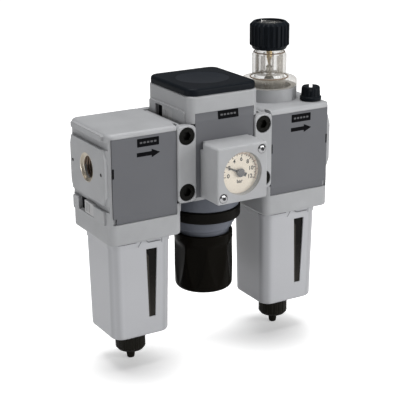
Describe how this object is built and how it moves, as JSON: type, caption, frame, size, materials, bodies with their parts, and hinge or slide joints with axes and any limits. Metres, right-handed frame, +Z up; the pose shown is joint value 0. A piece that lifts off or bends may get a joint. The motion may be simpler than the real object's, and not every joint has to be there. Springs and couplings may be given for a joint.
{
  "type": "filter regulator lubricator",
  "caption": "Compressed-air service unit: a filter, a pressure regulator with gauge and knob, and an oil lubricator, clamped in a row.",
  "frame": {"origin": "on the port axis where the inlet's thread starts, 1.6 mm behind the outer face of the filter's end flange", "axes": "+X along the air line from inlet to outlet, -Y towards the gauge side (front), +Z up"},
  "size_m": [0.131, 0.0615, 0.1668],
  "materials": {
    "cast_grey": "satin light grey paint",
    "cover_dark": "satin dark grey",
    "clamp_grey": "satin light grey paint",
    "slate": "satin blue-grey",
    "black_plastic": "satin black",
    "clear_plastic": "clear polycarbonate",
    "screw_black": "blackened steel",
    "chrome": "polished",
    "steel": "bright",
    "brass": "turned",
    "seal_rubber": "moulded",
    "seal_orange": "moulded",
    "white_plastic": "moulded",
    "element_white": "sintered",
    "dial_cream": "printed",
    "needle_black": "matt",
    "latch_grey": "satin light grey",
    "gauge_grey": "satin light grey",
    "sinter_bronze": "sintered"
  },
  "bodies": {
    "housing": {"filter_body": "cast_grey", "regulator_body": "cast_grey", "lubricator_body": "cast_grey", "filter_front_cover": "cover_dark", "filter_rear_cover": "cover_dark", "regulator_front_cover": "cover_dark", "regulator_rear_cover": "cover_dark", "lubricator_front_cover": "cover_dark", "lubricator_rear_cover": "cover_dark", "front_clamps": "clamp_grey", "rear_clamps": "clamp_grey", "clamp_screws": "screw_black", "port_spacers": "cast_grey", "port_seals": "seal_rubber", "filter_deflector": "white_plastic", "filter_element": "element_white", "filter_baffle": "white_plastic", "valve_spring": "steel", "diaphragm": "seal_rubber", "bonnet": "slate", "panel_nut": "black_plastic", "control_spring": "steel", "gauge_housing": "gauge_grey", "gauge_screws": "chrome", "gauge_dial": "dial_cream", "gauge_lens": "clear_plastic", "gauge_bourdon_tube": "brass", "gauge_adapter": "brass", "sight_dome": "clear_plastic", "sight_dome_seal": "seal_orange", "drip_tube": "clear_plastic", "oil_tube": "clear_plastic", "oil_strainer": "sinter_bronze"},
    "filter_bowl_unit": {"filter_bowl": "clear_plastic", "filter_bowl_guard": "cast_grey", "filter_bowl_seal": "seal_rubber"},
    "filter_drain": {"filter_drain_knob": "black_plastic"},
    "filter_drain_stem": {"filter_drain_valve": "brass"},
    "filter_lock": {"filter_lock_slide": "latch_grey"},
    "regulator_cap_unit": {"regulator_cap": "black_plastic", "cap_seal": "seal_rubber"},
    "cap_lock": {"cap_lock_slide": "latch_grey"},
    "valve": {"valve_poppet": "brass", "diaphragm_plate": "brass"},
    "spindle": {"adjusting_screw": "steel"},
    "knob": {"adjusting_knob": "black_plastic"},
    "spring_nut": {"spring_nut": "brass"},
    "needle": {"gauge_needle": "needle_black"},
    "lubricator_bowl_unit": {"lubricator_bowl": "clear_plastic", "lubricator_bowl_guard": "cast_grey", "lubricator_bowl_seal": "seal_rubber"},
    "lubricator_drain": {"lubricator_drain_knob": "black_plastic"},
    "lubricator_drain_stem": {"lubricator_drain_valve": "brass"},
    "lubricator_lock": {"lubricator_lock_slide": "latch_grey"},
    "flap": {"flow_flap": "black_plastic"},
    "drip_control": {"drip_knob": "black_plastic", "drip_knob_window": "clear_plastic"},
    "drip_stem": {"drip_needle": "brass"},
    "plug_seal": {"fill_plug_seal": "seal_rubber"},
    "plug": {"fill_plug": "black_plastic"}
  },
  "joints": [
    {"name": "filter_bowl_twist", "type": "hinge", "parent": "housing", "child": "filter_bowl_unit", "pos_m": [0.0196, 0, -0.036], "axis": [0, 0, 1], "range_deg": [0, 45]},
    {"name": "filter_drain_turn", "type": "hinge", "parent": "filter_bowl_unit", "child": "filter_drain", "pos_m": [0.0196, 0, -0.095], "axis": [0, 0, 1], "range_deg": [0, 180]},
    {"name": "filter_drain_lift", "type": "slide", "parent": "filter_bowl_unit", "child": "filter_drain_stem", "axis": [0, 0, 1], "range_m": [0, 0.0012]},
    {"name": "filter_lock_slide", "type": "slide", "parent": "housing", "child": "filter_lock", "axis": [0, 1, 0], "range_m": [0, 0.0065]},
    {"name": "lubricator_bowl_twist", "type": "hinge", "parent": "housing", "child": "lubricator_bowl_unit", "pos_m": [0.1082, 0, -0.036], "axis": [0, 0, 1], "range_deg": [0, 45]},
    {"name": "lubricator_drain_turn", "type": "hinge", "parent": "lubricator_bowl_unit", "child": "lubricator_drain", "pos_m": [0.1082, 0, -0.095], "axis": [0, 0, 1], "range_deg": [0, 180]},
    {"name": "lubricator_drain_lift", "type": "slide", "parent": "lubricator_bowl_unit", "child": "lubricator_drain_stem", "axis": [0, 0, 1], "range_m": [0, 0.0012]},
    {"name": "lubricator_lock_slide", "type": "slide", "parent": "housing", "child": "lubricator_lock", "axis": [0, 1, 0], "range_m": [0, 0.0065]},
    {"name": "cap_twist", "type": "hinge", "parent": "housing", "child": "regulator_cap_unit", "pos_m": [0.0639, 0, 0.035], "axis": [0, 0, 1], "range_deg": [0, 45]},
    {"name": "cap_lock_slide", "type": "slide", "parent": "housing", "child": "cap_lock", "axis": [0, 1, 0], "range_m": [0, 0.0065]},
    {"name": "valve_lift", "type": "slide", "parent": "housing", "child": "valve", "axis": [0, 0, 1], "range_m": [0, 0.001], "stiffness_N_per_m": 1500, "springref_m": -0.001, "deforming": ["valve_spring", "diaphragm"]},
    {"name": "pressure_adjust", "type": "hinge", "parent": "housing", "child": "spindle", "pos_m": [0.0639, 0, -0.05], "axis": [0, 0, 1], "range_deg": [-577, 937]},
    {"name": "knob_unlock", "type": "slide", "parent": "spindle", "child": "knob", "axis": [0, 0, -1], "range_m": [0, 0.003]},
    {"name": "spring_nut_lift", "type": "slide", "parent": "housing", "child": "spring_nut", "axis": [0, 0, 1], "range_m": [-0.0024, 0.0039], "deforming": ["control_spring"]},
    {"name": "gauge_needle_turn", "type": "hinge", "parent": "housing", "child": "needle", "pos_m": [0.06405, -0.0355, -0.0039], "axis": [0, 1, 0], "range_deg": [-36, 184]},
    {"name": "flow_flap_swing", "type": "hinge", "parent": "housing", "child": "flap", "pos_m": [0.1082, 0, 0.0063], "axis": [0, -1, 0], "range_deg": [0, 60], "stiffness_Nm_per_rad": 0.0002},
    {"name": "drip_adjust", "type": "hinge", "parent": "housing", "child": "drip_control", "pos_m": [0.1074, 0.005, 0.052], "axis": [0, 0, 1], "range_deg": [0, 360]},
    {"name": "drip_needle_lift", "type": "slide", "parent": "housing", "child": "drip_stem", "axis": [0, 0, 1], "range_m": [0, 0.001]},
    {"name": "plug_lift", "type": "slide", "parent": "housing", "child": "plug_seal", "axis": [0, 0, 1], "range_m": [0, 0.003]},
    {"name": "plug_turn", "type": "hinge", "parent": "plug_seal", "child": "plug", "pos_m": [0.1222, -0.012, 0.024], "axis": [0, 0, 1], "range_deg": [0, 1080]}
  ],
  "couplings": [
    {"joint": "filter_drain_turn", "follows": "filter_drain_lift", "rad_per_m": 2615.4},
    {"joint": "lubricator_drain_turn", "follows": "lubricator_drain_lift", "rad_per_m": 2615.4},
    {"joint": "pressure_adjust", "follows": "spring_nut_lift", "rad_per_m": 4188.8},
    {"joint": "drip_adjust", "follows": "drip_needle_lift", "rad_per_m": 6276.9},
    {"joint": "plug_turn", "follows": "plug_lift", "rad_per_m": 6276.9}
  ]
}
